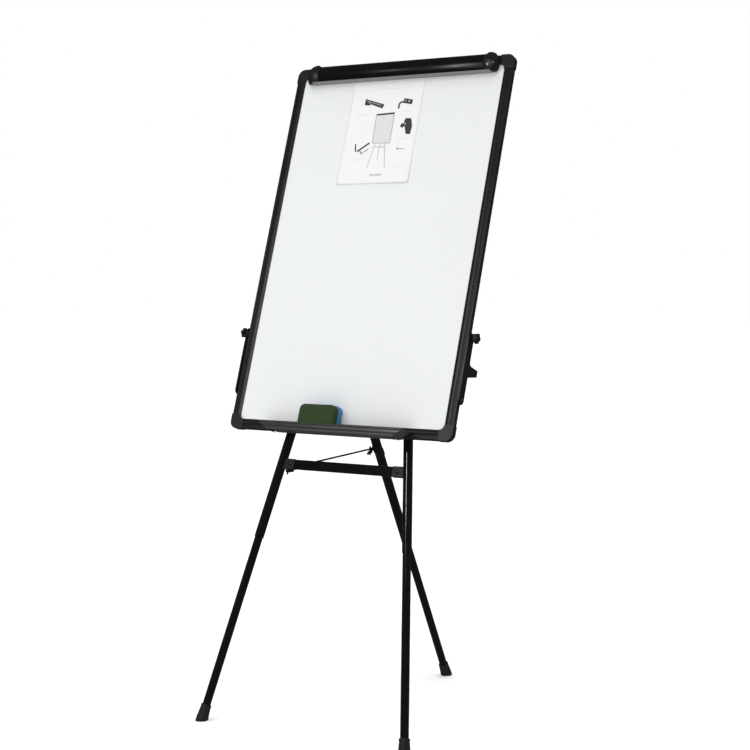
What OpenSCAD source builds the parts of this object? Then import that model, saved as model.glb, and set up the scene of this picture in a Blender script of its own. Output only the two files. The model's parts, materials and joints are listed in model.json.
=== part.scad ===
// Flipchart easel: a framed writing board with a paper clamp and a pen tray on a three-legged
// folding stand with telescopic legs.
// X runs across the easel, the board faces -Y, Z is up and the floor is z = 0.

/* [Board] */
// Outer width of the framed board
board_w = 600; // [500:10:700]
// Outer height of the framed board
board_h = 920; // [800:10:1000]
// Lean of the board back from the vertical, in degrees
board_lean = 19; // [17.5:0.5:20]
// Height of the board's bottom edge, measured up the plane of the front legs
board_up = 680; // [660:5:700]
// Distance from the plane of the leg axes forward to the board's front at its bottom edge
board_out = 55; // [50:1:60]
// Face width of the board frame
frame_face = 24; // [22:1:26]
// Depth of the board frame
frame_depth = 14; // [13:0.5:16]

/* [Clamp and tray] */
// Overall width of the paper clamp
clamp_w = 530; // [480:2:536]
// Width of the pen tray at its top edge
tray_w = 392; // [300:2:420]
// Distance that the pen tray stands out from the frame
tray_out = 36; // [32:1:40]

/* [Side arms] */
// Height of the knob's axis above the board's bottom edge
knob_up = 237; // [220:1:260]
// Distance from the knob's axis to the lower hole of the arm
arm_len = 141; // [120:1:145]
// Width of the flat arm
arm_face = 24; // [20:1:24]

/* [Front legs] */
// Lean of the front legs back from the vertical, in degrees
leg_lean = 17.5; // [17:0.5:18]
// Distance from the middle plane to each front foot
foot_x = 272; // [260:1:280]
// Inward tilt of each front leg, in degrees
splay = 9.3; // [9:0.1:9.6]
// Outer diameter of the upper tubes
upper_d = 22; // [22:1:22]
// Outer diameter of the lower tubes
lower_d = 19; // [19:1:19]
// Wall of all leg tubes
tube_wall = 1.2; // [1:0.1:1.4]
// Distance from the floor to the lower end of a front upper tube
front_joint = 440; // [420:5:460]
// Height of the crossbar up the plane of the front legs
crossbar_up = 612; // [600:1:620]

/* [Rear leg] */
// Lean of the rear leg from the vertical, in degrees
rear_lean = 28.74; // [28.5:0.01:29]
// Height of the rear leg's pivot up the plane of the front legs
pivot_up = 790; // [785:1:795]
// Distance of the pivot behind the plane of the front legs
pivot_back = 28; // [28:1:29]
// Distance from the floor to the pivot along the rear leg
rear_len = 850; // [850:1:850]
// Distance from the floor to the lower end of the rear upper tube
rear_joint = 413; // [400:1:430]

/* [Hidden] */
$fn = 48;

// Place of the stand: the leg plane meets the floor at leg_y
leg_y = -337.05;
board_y = leg_y + board_up * sin(leg_lean) - board_out * cos(leg_lean);
board_z = board_up * cos(leg_lean) + board_out * sin(leg_lean);
pivot_y = leg_y + pivot_up * sin(leg_lean) + pivot_back * cos(leg_lean);
pivot_z = pivot_up * cos(leg_lean) - pivot_back * sin(leg_lean);
rear_y = pivot_y + rear_len * sin(rear_lean);
rear_z = pivot_z - rear_len * cos(rear_lean);

// Board layers, measured back from the frame's front
sheet_front = 3;
sheet_t = 0.5;
panel_back = 11;
half_w = board_w / 2;
inner_x = half_w - frame_face;
panel_in = 14;              // from the frame's outer edge to the panel's edge
corner_len = 35;
corner_r = 18;
inner_fillet = 10;
corner_over = 0.6;          // how far a corner piece stands proud of the frame
spigot_len = 20;
spigot_gap = 0.1;
chamber_u = [11.4, 22.2];   // hollow in the frame, across its face
chamber_w = [4.2, 12.2];    // hollow in the frame, through its depth
chamber_mid = 8.2;
screw_up = 43;              // corner screws, from the end of the frame
m3 = 1.5;
m4 = 2;

// Clamp, seen in section
clamp_r = 29;
clamp_wall = 2;
clamp_mid = [10, board_h - 21];
clamp_pivot = [-6, board_h - 9];
clamp_low = board_h - 40;
clamp_bottom = board_h - 44;
clamp_cut = -10.2;          // back edge of the bar, in front of its hinge
cap_dome = [[0, 29.5], [8, 32.5], [12, 32.3], [20, 30.5], [28, 26.5], [33, 22], [36, 16]];
cap_len = 36;
rod_r = 2;
bar_half = clamp_w / 2 - cap_len;
spring_x = 195;
spring_wire = 0.65;         // radius of the spring wire
coil_r = 3.25;
coil_len = 7;

// Tray
tray_wall = 1.6;
tray_top = 14;
tray_bottom = -6;
tray_chamfer = 28;

// Side arms and knobs
arm_x = half_w + 1;
arm_t = 3;
knob_x = arm_x + arm_t + 0.1;
stud_r = 3;
run = 0.05;                 // radial clearance of a running fit

// Legs
upper_r = upper_d / 2;
lower_r = lower_d / 2;
bore_r = upper_r - tube_wall;
front_top = 1500;
front_lower_top = 762;
rear_lower_top = 700;
lower_start = 12;
foot_len = 38;
foot_r = [14, 12];
bush_len = 30;
bolt_up = 1462;
saddle_up = 750;
saddle_half = 23;
saddle_tall = 38;
strap_wall = 1.5;
strap_tall = 18;

// Crossbar
bar_high = 23.4;
bar_thick = 4;
bracket_len = 27;
bracket_high = 25;
rivet_in = 26;              // from the leg's axis to the crossbar rivet
rivet_r = 3;

// Brace rod, in the leg plane's own axes
brace_r = 2.25;
brace_foot = [-160, 12, 604];
brace_end = [-2, 106, 680];
brace_pin = 11;
brace_stub = 7;
brace_bulge = 0.3;          // swelling of the rod at its bends
eye_r = 9;
eye_half = 6;
ear_gap = 0.3;
ear_t = 3;
hinge_r = 4;
clip_up = 711;              // brace clip, from the floor along the rear leg

black = [0.09, 0.09, 0.09];
dark = [0.16, 0.16, 0.16];
steel = [0.75, 0.75, 0.77];

// ---- placing ----

module in_leg_plane() translate([0, leg_y, 0]) rotate([-leg_lean, 0, 0]) children();
module on_board() translate([0, board_y, board_z]) rotate([-board_lean, 0, 0]) children();
module on_front_leg(side)
    in_leg_plane() translate([side * foot_x, 0, 0]) rotate([0, -side * splay, 0]) children();
module on_rear_leg()
    translate([0, rear_y, rear_z]) rotate([rear_lean, 0, 0]) children();

// A section drawn in depth and height, run across the easel from x0
module across(x0, len) translate([x0, 0, 0]) rotate([90, 0, 90]) linear_extrude(len) children();
// A shape drawn in width and height, given depth from d0 backwards
module deep(d0, d1)
    translate([0, d1, 0]) rotate([90, 0, 0]) linear_extrude(d1 - d0) children();
module both_sides() {
    children();
    mirror([1, 0, 0]) children();
}
module box(a, b) translate(a) cube(b - a);
module above_floor() intersection() {
    children();
    translate([-1000, -1000, 0]) cube([2000, 2000, 2000]);
}
module ring(r1, r0, z0, z1) difference() {
    translate([0, 0, z0]) cylinder(r = r1, h = z1 - z0);
    translate([0, 0, z0 - 1]) cylinder(r = r0, h = z1 - z0 + 2);
}
// A domed screw or rivet: head above z = 0, shank below
module stud(shank_r, shank, head_r, head) {
    translate([0, 0, -shank]) cylinder(r = shank_r, h = shank);
    cylinder(r = head_r, h = head * 0.4);
    translate([0, 0, head * 0.4]) cylinder(r1 = head_r, r2 = head_r * 0.55, h = head * 0.6);
}

// ---- board ----

module frame_profile() {
    band = [for (i = [0 : 6]) [4.5 + 8.5 * i / 6, 0.9 - 0.9 * sin(180 * i / 6)]];
    edge = [for (i = [0 : 4]) [frame_face - 2 + 2 * sin(22.5 * i), 2.5 - 2 * cos(22.5 * i)]];
    difference() {
        polygon(concat([[0, sheet_front], [0, 2.2]], band, [[13.6, 2], [16.4, 2], [17, 0.5]],
            edge, [[frame_face, frame_depth - 1.5], [frame_face - 1.5, frame_depth],
            [0, frame_depth], [0, panel_back], [10.2, panel_back], [10.2, sheet_front]]));
        translate([chamber_u[0], chamber_w[0]])
            square([chamber_u[1] - chamber_u[0], chamber_w[1] - chamber_w[0]]);
    }
}

module panel(w0, w1) on_board()
    box([-half_w + panel_in, w0, panel_in], [half_w - panel_in, w1, board_h - panel_in]);

// Holes for the screws in the board's back
module back_screw_places() {
    for (x = [-55, 55], v = [760, 806]) translate([x, panel_back + 3, v]) rotate([-90, 0, 0])
        children();
    for (side = [-1, 1], k = [-1, 1])
        translate([side * (saddle_x() + 16 * k), panel_back + 3, saddle_up - board_up + 13.5 * k])
            rotate([-90, 0, 0]) children();
}
function saddle_x() = foot_x - saddle_up * tan(splay);

module writing_sheet() color("white") panel(sheet_front, sheet_front + sheet_t);

module board_core() color([0.6, 0.5, 0.38]) difference() {
    panel(sheet_front + sheet_t, panel_back - sheet_t);
    on_board() back_screw_places() translate([0, 0, -9]) cylinder(r = m4, h = 10);
}

module back_sheet() color("gray") difference() {
    panel(panel_back - sheet_t, panel_back);
    on_board() back_screw_places() translate([0, 0, -9]) cylinder(r = m4, h = 10);
}

module side_member() difference() {
    translate([inner_x, 0, corner_len]) linear_extrude(board_h - 2 * corner_len) frame_profile();
    for (v = [screw_up, board_h - screw_up])
        translate([half_w - 4, chamber_mid, v]) rotate([0, 90, 0]) cylinder(r = m3, h = 6);
    translate([half_w - 4, chamber_mid, knob_up]) rotate([0, 90, 0]) cylinder(r = stud_r, h = 6);
}

module frame_right() color(dark) on_board() side_member();
module frame_left() color(dark) on_board() mirror([1, 0, 0]) side_member();

module level_member() rotate([0, -90, 0])
    translate([0, 0, corner_len - half_w]) linear_extrude(board_w - 2 * corner_len)
        frame_profile();

module frame_top() color(dark) on_board() difference() {
    translate([0, 0, board_h - frame_face]) level_member();
    clamp_screw_places() translate([0, 0, -8]) cylinder(r = m3, h = 9);
}

module frame_bottom() color(dark) on_board() difference() {
    translate([0, 0, frame_face]) mirror([0, 0, 1]) level_member();
    tray_screw_places() translate([0, 0, -8]) cylinder(r = m3, h = 9);
}

// A corner piece with its outer corner at the origin, reaching along +X and +Z
module corner_piece() difference() {
    union() {
        deep(-corner_over, frame_depth + corner_over) difference() {
            union() {
                translate([-corner_over, -corner_over])
                    square([corner_len + corner_over, frame_face + corner_over]);
                translate([-corner_over, -corner_over])
                    square([frame_face + corner_over, corner_len + corner_over]);
                translate([frame_face - 1, frame_face - 1]) difference() {
                    square(inner_fillet + 1);
                    translate([inner_fillet + 1, inner_fillet + 1]) circle(inner_fillet);
                }
            }
            translate([-1, -1]) difference() {
                square(corner_r + 1 - corner_over);
                translate([corner_r + 1 - corner_over, corner_r + 1 - corner_over])
                    circle(corner_r);
            }
        }
        spigot();
        mirror([1, 0, -1]) spigot();
    }
    box([panel_in - 0.1, sheet_front, panel_in - 0.1], [60, panel_back, 60]);
    translate([-2, chamber_mid, screw_up]) rotate([0, 90, 0]) cylinder(r = m3, h = 13);
}

module spigot() box(
    [corner_len - 1, chamber_w[0] + spigot_gap, frame_face - chamber_u[1] + spigot_gap],
    [corner_len + spigot_len, chamber_w[1] - spigot_gap, frame_face - chamber_u[0] - spigot_gap]);

module bottom_corners() color(black) on_board()
    both_sides() translate([-half_w, 0, 0]) corner_piece();
module top_corners() color(black) on_board()
    both_sides() translate([-half_w, 0, board_h]) mirror([0, 0, 1]) corner_piece();

module corner_screws() color(steel) on_board() both_sides()
    for (v = [screw_up, board_h - screw_up])
        translate([half_w, chamber_mid, v]) rotate([0, 90, 0]) stud(m3, 11, 3.2, 1.8);

// ---- paper clamp ----

module clamp_screw_places() for (x = [-200, -80, 80, 200])
    translate([x, -1.5, board_h - 18]) rotate([90, 0, 0]) children();
module tray_screw_places() for (x = [-150, -60, 60, 150])
    translate([x, chamber_mid, -tray_wall]) rotate([180, 0, 0]) children();

module frame_screws() color(steel) on_board() {
    clamp_screw_places() stud(m3, 4.2, 2.8, 1.5);
    tray_screw_places() stud(m3, 7, 2.8, 1.5);
}

module clamp_base() color(dark) on_board() difference() {
    union() {
        across(-bar_half + 1, 2 * bar_half - 2) {
            translate([-1.5, board_h - 22]) square([1.5, 22]);
            translate([-1.5, board_h]) square([14.5, 1.6]);
        }
        for (x = [-bar_half + 8.5, -1.5, bar_half - 11.5]) across(x, 3) {
            translate(clamp_pivot) circle(4.2);
            translate([clamp_pivot[0], clamp_pivot[1] - 4.2]) square([5, 8.4]);
        }
    }
    across(-260, 520) translate(clamp_pivot) circle(rod_r);
    clamp_screw_places() translate([0, 0, -3]) cylinder(r = m3, h = 4);
}

module clamp_rod() color(steel) on_board()
    across(-bar_half - 18, 2 * bar_half + 36) translate(clamp_pivot) circle(rod_r);

module clamp_bar() color([0.2, 0.2, 0.2]) on_board() across(-bar_half, 2 * bar_half)
    difference() {
        translate(clamp_mid) circle(clamp_r, $fn = 96);
        translate(clamp_mid) circle(clamp_r - clamp_wall, $fn = 96);
        translate([clamp_cut, 0]) square([60, 2000]);
        translate([-60, clamp_low - 200]) square([60, 200]);
    }

module clamp_lip() color([0.45, 0.45, 0.45]) on_board()
    across(-bar_half - 18, 2 * bar_half + 36)
        polygon([[-11.7, clamp_low], [-10.8, clamp_low - 2.2], [-8.8, clamp_bottom + 0.5],
            [2.6, clamp_bottom + 0.5], [2.6, clamp_low]]);

// The domed end of the clamp, cut away where the frame and the hinge are
module cap_body() {
    intersection() {
        translate([bar_half, clamp_mid[0], clamp_mid[1]]) rotate([0, 90, 0])
            for (i = [0 : len(cap_dome) - 2])
                translate([0, 0, cap_dome[i][0]])
                    cylinder(r1 = cap_dome[i][1], r2 = cap_dome[i + 1][1],
                        h = cap_dome[i + 1][0] - cap_dome[i][0], $fn = 96);
        across(bar_half - 1, cap_len + 2) {
            translate([-60, clamp_bottom + 0.5]) square([57.8, clamp_pivot[1] - clamp_bottom - 0.5]);
            translate([-60, clamp_bottom + 0.5]) square([59.8 + clamp_cut, 80]);
        }
    }
    across(bar_half, 20) translate(clamp_pivot) circle(3.9);
    // sleeve that fits inside the bar
    across(bar_half - 22, 23) difference() {
        translate(clamp_mid) circle(clamp_r - clamp_wall, $fn = 96);
        translate(clamp_mid) circle(clamp_r - clamp_wall - 3, $fn = 96);
        translate([-12, 0]) square([60, 2000]);
        translate([-60, clamp_mid[1] + 7]) square([200, 200]);
        translate([-60, clamp_low - 199]) square([200, 200]);
    }
}

module right_cap() difference() {
    cap_body();
    // room for the lip
    across(0, bar_half + 18.1) translate([-60, clamp_low - 20]) square([80, 20]);
    across(0, bar_half + 19) translate(clamp_pivot) circle(rod_r + run);
    clamp_rivet_places() {
        translate([0, 0, -8]) cylinder(r = m3, h = 10);
        cylinder(r = 2.7, h = 8);
    }
}

module clamp_cap_right() color(black) on_board() right_cap();
module clamp_cap_left() color(black) on_board() mirror([1, 0, 0]) right_cap();

// The rivets stand square to the cap's domed face, each in a small flat seat
module clamp_rivet_places() {
    for (p = [[bar_half + 14, 109, 31.7, 12.7], [bar_half + 27, 100, 26.8, 26.6]])
        translate([p[0], clamp_mid[0], clamp_mid[1]]) rotate([p[1], 0, 0])
            translate([0, 0, p[2]]) rotate([0, p[3], 0]) children();
}
module clamp_rivets() color(steel) on_board() clamp_rivet_places() stud(m3, 4, 2.6, 1.6);

// Torsion springs on the rod that press the bar onto the paper
module clamp_springs() color(steel) on_board() both_sides()
    translate([spring_x, clamp_pivot[0], clamp_pivot[1]]) {
        rotate([0, 90, 0])
            ring(coil_r + spring_wire, coil_r - spring_wire, -spring_wire, coil_len);
        translate([0, coil_r - 0.1, -11]) cylinder(r = spring_wire - 0.1, h = 11);
        translate([coil_len - 1, -coil_r - 0.1, 1.5]) rotate([0, 90, 0])
            cylinder(r = spring_wire - 0.1, h = 9);
    }

module leaflet() color("whitesmoke") on_board() box([-129, 2.75, 611], [70, 2.95, 893]);

// ---- pen tray and eraser ----

module tray_outline(cut) {
    top = tray_w / 2 - cut;
    polygon([[-top, tray_top], [top, tray_top], [top - tray_chamfer, tray_bottom],
        [tray_chamfer - top, tray_bottom]]);
}

module pen_tray() color(dark) on_board() difference() {
    union() {
        deep(-tray_out, -0.1) tray_outline(0);
        // rolled lip and bowed face
        intersection() {
            across(-tray_w / 2, tray_w) {
                translate([-tray_out, tray_top - 2.5]) circle(1.8);
                translate([-tray_out + 8, 4]) circle(9);
                translate([-tray_out, tray_bottom + 1.5]) circle(1.2);
            }
            deep(-tray_out - 4, 0) tray_outline(0);
        }
        box([-170, -1, -tray_wall], [170, frame_depth - 1, 0]);
    }
    difference() {
        deep(-tray_out + tray_wall, 1) tray_outline(tray_wall);
        box([-200, -60, -tray_wall], [200, 20, 0]);
    }
    tray_screw_places() translate([0, 0, -3]) cylinder(r = m3, h = 4);
}

module rounded(x0, x1, z0, z1, r) {
    for (x = [x0 + r, x1 - r], z = [z0 + r, z1 - r]) translate([x, z]) circle(r);
    translate([x0 + r, z0]) square([x1 - x0 - 2 * r, z1 - z0]);
    translate([x0, z0 + r]) square([x1 - x0, z1 - z0 - 2 * r]);
}

module eraser_felt() color([0.2, 0.3, 0.12]) on_board()
    deep(-33.6, -17) rounded(-90, 8, 0.1, 60.5, 14);
module eraser_back() color([0.14, 0.37, 0.53]) on_board()
    deep(-17, -1) rounded(-89, 9, 0.5, 62.5, 13);

// ---- side arms and knobs ----

module arm_plate() difference() {
    across(arm_x, arm_t) difference() {
        union() {
            for (v = [knob_up - arm_len, knob_up])
                translate([chamber_mid, v]) circle(arm_face / 2);
            translate([chamber_mid - arm_face / 2, knob_up - arm_len])
                square([arm_face, arm_len]);
            polygon([[19, 149], [60, 161], [60, 176], [26, 177.5], [22, 180], [19, 186]]);
        }
        translate([chamber_mid, knob_up]) circle(stud_r + run);
        translate([chamber_mid, knob_up - arm_len]) circle(m3);
    }
}
module side_arm_right() color(black) on_board() arm_plate();
module side_arm_left() color(black) on_board() mirror([1, 0, 0]) arm_plate();

module pin_on_arm() translate([arm_x + arm_t, chamber_mid, knob_up - arm_len])
    rotate([0, 90, 0]) stud(m3, arm_t + 0.5, 3.4, 2.2);
module arm_pin_right() color(steel) on_board() pin_on_arm();
module arm_pin_left() color(steel) on_board() mirror([1, 0, 0]) pin_on_arm();

// Threaded studs held in the frame, each with its washer behind the arm
module knob_studs() color(steel) on_board() both_sides()
    translate([half_w, chamber_mid, knob_up]) rotate([0, 90, 0]) {
        translate([0, 0, -1.8]) cylinder(r = stud_r, h = 18.8);
        translate([0, 0, -5.8]) cylinder(r = 3.9, h = 4);
        cylinder(r = 9, h = 0.9);
    }

module star_knob() translate([knob_x, chamber_mid, knob_up]) rotate([0, 90, 0]) difference() {
    union() {
        cylinder(r = 5, h = 8);
        translate([0, 0, 7]) linear_extrude(10) {
            circle(9);
            for (i = [0 : 4]) rotate(72 * i) translate([8.6, 0]) circle(3.6);
        }
        translate([0, 0, 17]) cylinder(r1 = 8, r2 = 6, h = 1.2);
    }
    translate([0, 0, -1]) cylinder(r = stud_r + run, h = 14.5);
}
module knob_right() color(black) on_board() star_knob();
module knob_left() color(black) on_board() mirror([1, 0, 0]) star_knob();

// ---- front legs ----

module leg_bolt_places() in_leg_plane() both_sides()
    translate([foot_x - bolt_up * tan(splay), upper_r, bolt_up]) rotate([-90, 0, 0]) children();

module front_tube(side) difference() {
    on_front_leg(side) ring(upper_r, bore_r, front_joint, front_top);
    leg_bolt_places() translate([0, 0, -30]) cylinder(r = stud_r, h = 34);
}
module front_leg_left() color(black) front_tube(-1);
module front_leg_right() color(black) front_tube(1);

module bush_at(s) ring(bore_r, lower_r + run, s, s + bush_len);
module front_bushes() color(dark) for (side = [-1, 1]) on_front_leg(side) bush_at(front_joint);

module leg_top_caps() color(dark) for (side = [-1, 1]) on_front_leg(side) {
    translate([0, 0, front_top - 11]) cylinder(r = bore_r, h = 11);
    translate([0, 0, front_top]) cylinder(r = upper_r, h = 2);
}

module lower_tube(top) ring(lower_r, lower_r - tube_wall, lower_start, top);
module lower_leg_left() color(black) on_front_leg(-1) lower_tube(front_lower_top);
module lower_leg_right() color(black) on_front_leg(1) lower_tube(front_lower_top);
module lower_leg_rear() color(black) on_rear_leg() lower_tube(rear_lower_top);

// A plug in the lower tube's upper end, with a friction collar that grips inside the upper tube
module brake(top) {
    translate([0, 0, top - 20]) cylinder(r = lower_r - tube_wall, h = 20);
    translate([0, 0, top]) cylinder(r = bore_r - 0.1, h = 13);
}
module leg_brake_left() color(dark) on_front_leg(-1) brake(front_lower_top);
module leg_brake_right() color(dark) on_front_leg(1) brake(front_lower_top);
module leg_brake_rear() color(dark) on_rear_leg() brake(rear_lower_top);

module boot() difference() {
    union() {
        translate([0, 0, -9]) cylinder(r = foot_r[0], h = 21);
        translate([0, 0, 12]) cylinder(r1 = foot_r[0], r2 = foot_r[1], h = foot_len - 14);
        translate([0, 0, foot_len - 2]) cylinder(r1 = foot_r[1], r2 = foot_r[1] - 1, h = 2);
    }
    translate([0, 0, lower_start]) cylinder(r = lower_r, h = foot_len);
}
module foot_left() color(black) above_floor() on_front_leg(-1) boot();
module foot_right() color(black) above_floor() on_front_leg(1) boot();
module foot_rear() color(black) above_floor() on_rear_leg() boot();

// ---- board to stand ----

module top_bracket() color(dark) difference() {
    union() {
        on_board() box([-65, panel_back, 748], [65, panel_back + 3, 818]);
        leg_bolt_places() translate([0, 0, -34]) cylinder(r = 8, h = 22);
    }
    on_board() box([-100, 0, 700], [100, panel_back, 900]);
    for (side = [-1, 1]) on_front_leg(side) cylinder(r = upper_r, h = front_top + 50);
    leg_bolt_places() translate([0, 0, -40]) cylinder(r = stud_r, h = 44);
    on_board() back_screw_places() translate([0, 0, -9]) cylinder(r = m4, h = 12);
}

module leg_bolts() color(steel) leg_bolt_places() {
    translate([0, 0, -30]) cylinder(r = stud_r, h = 31);
    cylinder(r = 6.5, h = 1);
    translate([0, 0, 1]) cylinder(r = 5.5, h = 4, $fn = 6);
}

// Saddles that hold the lower part of the board off the front tubes
module saddle_block() difference() {
    translate([-saddle_half, -60, saddle_up / cos(splay) - saddle_tall / 2])
        cube([2 * saddle_half, 59, saddle_tall]);
    cylinder(r = upper_r, h = 2000);
}
module board_saddles() color(dark) difference() {
    for (side = [-1, 1]) on_front_leg(side) saddle_block();
    on_board() box([-400, -100, -200], [400, panel_back, 400]);
    strap_screw_places() translate([0, 0, -14]) cylinder(r = m4, h = 30);
    on_board() back_screw_places() {
        translate([0, 0, -9]) cylinder(r = m4, h = 12);
        cylinder(r = 4.2, h = 60);
    }
}

module strap_screw_places() for (side = [-1, 1]) on_front_leg(side)
    for (x = [-18, 18]) translate([x, strap_wall - 1, saddle_up / cos(splay)])
        rotate([-90, 0, 0]) children();

module saddle_straps() color(steel) difference() {
    for (side = [-1, 1]) on_front_leg(side)
        translate([0, 0, saddle_up / cos(splay) - strap_tall / 2]) difference() {
            union() {
                cylinder(r = upper_r + strap_wall, h = strap_tall);
                translate([-saddle_half, -1, 0]) cube([2 * saddle_half, strap_wall, strap_tall]);
            }
            translate([0, 0, -1]) cylinder(r = upper_r, h = strap_tall + 2);
            translate([-30, -31, -1]) cube([60, 30, strap_tall + 2]);
        }
    strap_screw_places() translate([0, 0, -14]) cylinder(r = m4, h = 30);
}

module back_screws() color(steel) {
    on_board() back_screw_places() stud(m4, 9, 3.8, 2.2);
    strap_screw_places() stud(m4, 12, 3.6, 2.2);
}

// ---- bars between the front legs ----

module minus_front_tubes() difference() {
    children();
    for (side = [-1, 1]) on_front_leg(side) cylinder(r = upper_r, h = front_top);
}

module crossbar() color(black) in_leg_plane() difference() {
    bar_x = foot_x - crossbar_up * tan(splay) - 16;
    box([-bar_x, -bar_thick / 2, crossbar_up - bar_high / 2],
        [bar_x, bar_thick / 2, crossbar_up + bar_high / 2]);
    rivet_places() cylinder(r = rivet_r, h = 20, center = true);
}

module rivet_places() for (side = [-1, 1])
    translate([side * (foot_x - crossbar_up * tan(splay) - rivet_in), 0, crossbar_up])
        rotate([90, 0, 0]) children();

module crossbar_brackets() color(dark) minus_front_tubes() in_leg_plane() difference() {
    mid_x = foot_x - crossbar_up * tan(splay);
    union() {
        both_sides() box([mid_x - 11 - bracket_len, -5, crossbar_up - bracket_high / 2],
            [mid_x - 6, 5, crossbar_up + bracket_high / 2]);
        // lug for the brace rod's pivot
        translate([brace_foot[0], brace_foot[1], brace_foot[2] - 9]) linear_extrude(4.5)
            difference() {
                union() {
                    circle(5.5);
                    polygon([[-4, -4], [8, -10], [22, -10], [22, -7], [4, 4]]);
                }
                circle(brace_r + run);
            }
    }
    both_sides() box([0, -bar_thick / 2, 0], [mid_x - 16, bar_thick / 2, 1000]);
    rivet_places() cylinder(r = rivet_r, h = 20, center = true);
}

module crossbar_rivets() color(dark) in_leg_plane() rivet_places() {
    translate([0, 0, 5]) stud(rivet_r, 10, 5, 2.4);
    mirror([0, 0, 1]) translate([0, 0, 5]) cylinder(r1 = 4.6, r2 = 2.6, h = 1.8);
}

module hinge_bar() color(black) minus_front_tubes() in_leg_plane()
    box([-foot_x + pivot_up * tan(splay), -3, pivot_up - 13],
        [foot_x - pivot_up * tan(splay), 3, pivot_up + 13]);

module hinge_bracket() color(dark) in_leg_plane() difference() {
    union() {
        box([-24, 3, pivot_up - 13], [24, 6, pivot_up + 13]);
        for (x = [-eye_half - ear_gap - ear_t, eye_half + ear_gap]) across(x, ear_t) {
            translate([pivot_back, pivot_up]) circle(eye_r);
            translate([5, pivot_up - eye_r]) square([pivot_back - 5, 2 * eye_r]);
        }
    }
    across(-20, 40) translate([pivot_back, pivot_up]) circle(hinge_r);
}

module hinge_pin() color(steel) in_leg_plane() {
    reach = eye_half + ear_gap + ear_t;
    across(-reach, 2 * reach) translate([pivot_back, pivot_up]) circle(hinge_r);
    across(reach, 2) translate([pivot_back, pivot_up]) circle(hinge_r + 2);
    across(-reach - 2, 2) translate([pivot_back, pivot_up]) circle(hinge_r + 1.2);
}

// ---- rear leg and brace ----

module rear_leg() color(black) on_rear_leg() ring(upper_r, bore_r, rear_joint, rear_len - 18);

module rear_leg_eye() color(dark) on_rear_leg() difference() {
    union() {
        translate([0, 0, rear_len - 50]) cylinder(r = bore_r, h = 32);
        across(-eye_half, 2 * eye_half) {
            translate([0, rear_len]) circle(eye_r);
            translate([-eye_r, rear_len - 18]) square([2 * eye_r, 18]);
        }
    }
    across(-20, 40) translate([0, rear_len]) circle(hinge_r + run);
}

module rear_bush() color(dark) on_rear_leg() bush_at(rear_joint);

// A slanted band round the tube with an open hook for the brace rod's pin
module brace_clip() color([0.3, 0.3, 0.3]) on_rear_leg() difference() {
    union() {
        intersection() {
            translate([0, 0, clip_up - 40]) cylinder(r = upper_r + 1.4, h = 60);
            translate([0, 0, clip_up - 14]) rotate([0, 38, 0])
                cube([80, 80, 9], center = true);
        }
        translate([0, 0, clip_up - 7]) linear_extrude(4)
            polygon([[-13, -2], [-13, -31], [-3, -31], [-3, -28.4], [-6, -28.4], [-7, -27],
                [-7, -8], [-2, -8], [-2, -2]]);
    }
    cylinder(r = upper_r, h = 900);
}

module rod_between(a, b, r) {
    d = b - a;
    translate(a) rotate([0, acos(d[2] / norm(d)), atan2(d[1], d[0])])
        cylinder(r = r, h = norm(d));
}

module brace_rod() color(black) in_leg_plane() {
    tilt = leg_lean + rear_lean;
    down_leg = [0, sin(tilt), -cos(tilt)];
    rod_between(brace_foot, brace_end, brace_r);
    for (p = [brace_foot, brace_end]) translate(p) sphere(brace_r + brace_bulge);
    rod_between(brace_foot - [0, 0, 15], brace_foot, brace_r);
    rod_between(brace_end - brace_stub * down_leg, brace_end + brace_pin * down_leg, brace_r);
}

writing_sheet();
board_core();
back_sheet();
frame_left();
frame_right();
frame_top();
frame_bottom();
top_corners();
bottom_corners();
corner_screws();
clamp_base();
clamp_rod();
clamp_bar();
clamp_lip();
clamp_cap_left();
clamp_cap_right();
clamp_rivets();
clamp_springs();
leaflet();
pen_tray();
frame_screws();
eraser_felt();
eraser_back();
side_arm_left();
side_arm_right();
arm_pin_left();
arm_pin_right();
knob_studs();
knob_left();
knob_right();
front_leg_left();
front_leg_right();
front_bushes();
leg_top_caps();
top_bracket();
back_screws();
leg_bolts();
board_saddles();
saddle_straps();
hinge_bar();
hinge_bracket();
hinge_pin();
crossbar();
crossbar_brackets();
crossbar_rivets();
rear_leg();
rear_leg_eye();
rear_bush();
brace_clip();
brace_rod();
lower_leg_left();
lower_leg_right();
lower_leg_rear();
leg_brake_left();
leg_brake_right();
leg_brake_rear();
foot_left();
foot_right();
foot_rear();
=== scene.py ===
"""Looks of the flipchart easel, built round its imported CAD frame.

Blender's own lengths are in metres. Pieces are drawn in millimetres in one of three sets of axes:
the board's (BOARD), the plane of the front legs (LEG_PLANE) or one leg tube's (LEG_AXIS). In each,
X is to the right, Y goes back and Z goes up, from the middle of the board's bottom edge, from the
floor midway between the front legs, or from where the tube meets the floor.
"""

import json
import math
import random

import bmesh
import bpy
from mathutils import Matrix, Vector, noise


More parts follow.
